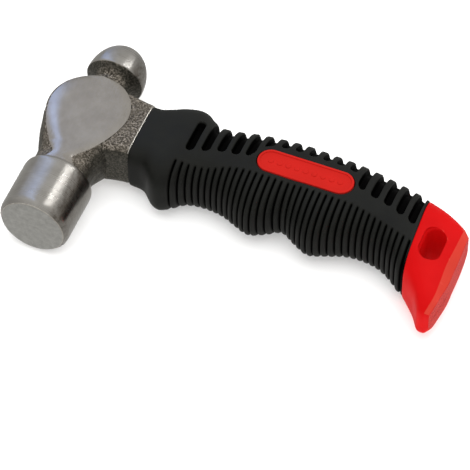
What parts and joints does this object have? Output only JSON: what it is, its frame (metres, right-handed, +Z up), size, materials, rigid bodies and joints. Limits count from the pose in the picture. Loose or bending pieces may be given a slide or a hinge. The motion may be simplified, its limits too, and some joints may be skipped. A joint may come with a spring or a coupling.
{
  "type": "ball peen hammer",
  "caption": "Short ball peen hammer: forged steel head with a flat striking face and a ball end, on a curved two-colour moulded grip with a hanging slot in the butt.",
  "frame": {"origin": "under the middle of the hammer's overall box, on the surface it lies on when it rests on its side", "axes": "+X from the head along the handle to the butt, +Y from the striking face to the ball, +Z up through the two cheeks, across the thickness"},
  "size_m": [0.1486, 0.08, 0.0247],
  "materials": {
    "forged_steel": "satin ground face, poll, cheeks and ball; dull shot-blasted flanks and skirt",
    "fibreglass": "dull pultruded glass-fibre rod",
    "epoxy": "dull cast resin",
    "red_plastic": "semi-gloss injection moulded plastic",
    "black_rubber": "matte thermoplastic rubber"
  },
  "bodies": {
    "root": {"head": "forged_steel", "shaft_core": "fibreglass", "eye_resin": "epoxy", "handle_body": "red_plastic", "grip_sleeve": "black_rubber"}
  },
  "joints": []
}
